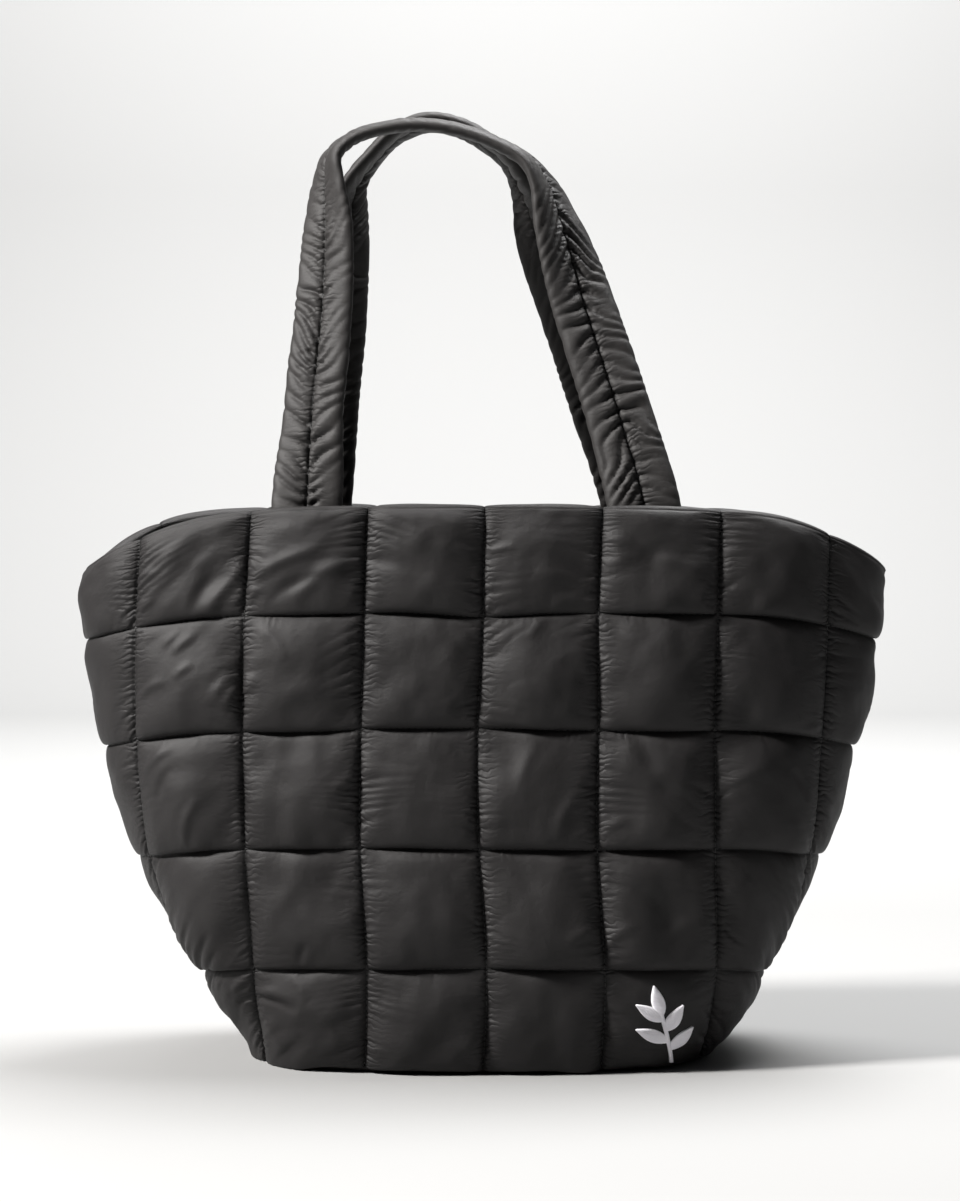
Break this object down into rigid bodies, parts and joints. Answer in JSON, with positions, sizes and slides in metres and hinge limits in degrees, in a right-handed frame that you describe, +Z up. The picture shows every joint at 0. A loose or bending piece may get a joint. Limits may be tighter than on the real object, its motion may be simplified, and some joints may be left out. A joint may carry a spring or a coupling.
{
  "type": "puffer tote bag",
  "caption": "Open-topped quilted puffer tote bag with padded walls, a padded base and two padded shoulder handles, for carrying clothes, shopping or sports things.",
  "frame": {"origin": "on the floor, below the middle of the bag", "axes": "+Z up; the quilted front with the stitched sprig faces -Y; +X to the right as the front is seen"},
  "size_m": [0.4952, 0.1988, 0.5803],
  "materials": {
    "nylon": "soft black nylon with a faint sheen",
    "base_nylon": "soft black nylon with a faint sheen",
    "strap_nylon": "gathered black nylon with a faint sheen",
    "white_thread": "white satin stitching"
  },
  "bodies": {
    "root": {"front_panel": "nylon", "back_panel": "nylon", "base_panel": "base_nylon", "front_handle": "strap_nylon", "back_handle": "strap_nylon", "stitched_sprig": "white_thread"}
  },
  "joints": []
}
